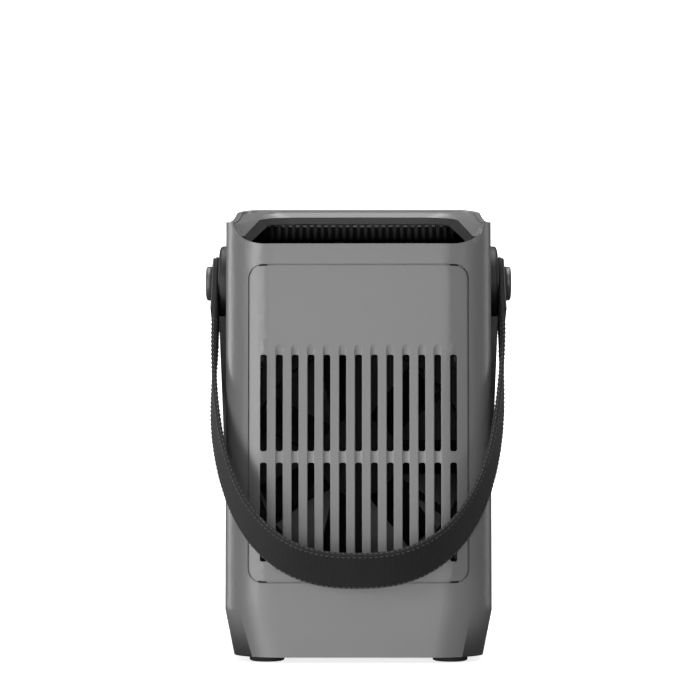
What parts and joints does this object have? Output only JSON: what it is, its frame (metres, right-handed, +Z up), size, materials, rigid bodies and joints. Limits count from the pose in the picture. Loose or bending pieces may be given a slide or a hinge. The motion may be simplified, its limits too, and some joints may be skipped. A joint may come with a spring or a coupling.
{
  "type": "box fan",
  "caption": "Upright cordless box fan with a slotted front intake, finned top outlet, side pivots and a swinging webbing carry strap.",
  "frame": {"origin": "on the floor, midway between the four feet, under the middle of the housing", "axes": "+Z up; the slotted intake face looks along -Y; +X to the right when facing the intake"},
  "size_m": [0.1708, 0.1753, 0.2542],
  "materials": {
    "shell": "fine matte texture",
    "grille": "fine matte texture",
    "black_plastic": "matte black moulding",
    "dark_trim": "dark satin moulding",
    "fan_plastic": "semi-gloss black",
    "rubber_black": "matt rubber",
    "webbing": "plain-weave nylon webbing",
    "steel": "zinc-plated steel",
    "dark_metal": "black oxide",
    "brass_bush": "plain bearing bronze",
    "copper_iron": "wound laminations",
    "magnet": "bonded ferrite",
    "board_green": "solder mask",
    "cell_wrap": "heat-shrink sleeve",
    "nickel": "nickel strip",
    "clear": "clear light guide",
    "lead_red": "soft insulation"
  },
  "bodies": {
    "housing": {"housing_shell": "shell", "intake_grille": "grille", "base_plate": "black_plastic", "foot_front_left": "rubber_black", "foot_front_right": "rubber_black", "foot_back_left": "rubber_black", "foot_back_right": "rubber_black", "base_screws": "steel", "outlet_bezel": "dark_trim", "outlet_fins": "black_plastic", "outlet_collar": "shell", "fan_frame": "fan_plastic", "grille_screws": "dark_metal", "fan_screws": "dark_metal", "motor_stator": "copper_iron", "bearing_front": "brass_bush", "bearing_rear": "brass_bush", "motor_board": "board_green", "duct_rear": "black_plastic", "duct_front": "black_plastic", "battery_tray": "black_plastic", "battery_lid": "black_plastic", "cell_strip_front": "nickel", "cell_strip_rear": "nickel", "control_board": "board_green", "board_screws": "steel", "rear_panel": "dark_trim", "power_switch": "dark_metal", "speed_switch": "dark_metal", "light_pipe": "clear", "usb_socket": "steel", "flap_pin": "steel", "fan_lead": "lead_red", "battery_lead": "lead_red", "battery_cell_1": "cell_wrap", "battery_cell_2": "cell_wrap", "battery_cell_3": "cell_wrap", "battery_cell_4": "cell_wrap", "battery_cell_5": "cell_wrap", "battery_cell_6": "cell_wrap", "strap_plate_left": "black_plastic", "side_pad_left": "dark_trim", "pivot_bolt_left": "dark_metal", "pivot_bush_left": "brass_bush", "pivot_nut_left": "steel", "strap_plate_right": "black_plastic", "side_pad_right": "dark_trim", "pivot_bolt_right": "dark_metal", "pivot_bush_right": "brass_bush", "pivot_nut_right": "steel"},
    "rotor": {"fan_rotor": "fan_plastic", "rotor_shaft": "steel", "rotor_magnet": "magnet", "shaft_clip": "steel"},
    "strap": {"carry_strap": "webbing", "strap_tab_left": "dark_trim", "strap_tab_right": "dark_trim"},
    "power_cap": {"power_button": "rubber_black"},
    "speed_cap": {"speed_button": "rubber_black"},
    "port_cover": {"port_flap": "rubber_black"}
  },
  "joints": [
    {"name": "fan_spin", "type": "hinge", "parent": "housing", "child": "rotor", "pos_m": [0, -0.045, 0.1087], "axis": [0, -1, 0], "continuous": true},
    {"name": "strap_swing", "type": "hinge", "parent": "housing", "child": "strap", "pos_m": [0, 0, 0.2056], "axis": [-1, 0, 0], "range_deg": [0, 285]},
    {"name": "power_press", "type": "slide", "parent": "housing", "child": "power_cap", "axis": [0, -1, 0], "range_m": [0, 0.001], "stiffness_N_per_m": 900, "springref_m": -0.0008},
    {"name": "speed_press", "type": "slide", "parent": "housing", "child": "speed_cap", "axis": [0, -1, 0], "range_m": [0, 0.001], "stiffness_N_per_m": 900, "springref_m": -0.0008},
    {"name": "port_cover_hinge", "type": "hinge", "parent": "housing", "child": "port_cover", "pos_m": [0, 0.0657, 0.0892], "axis": [1, 0, 0], "range_deg": [0, 110]}
  ]
}
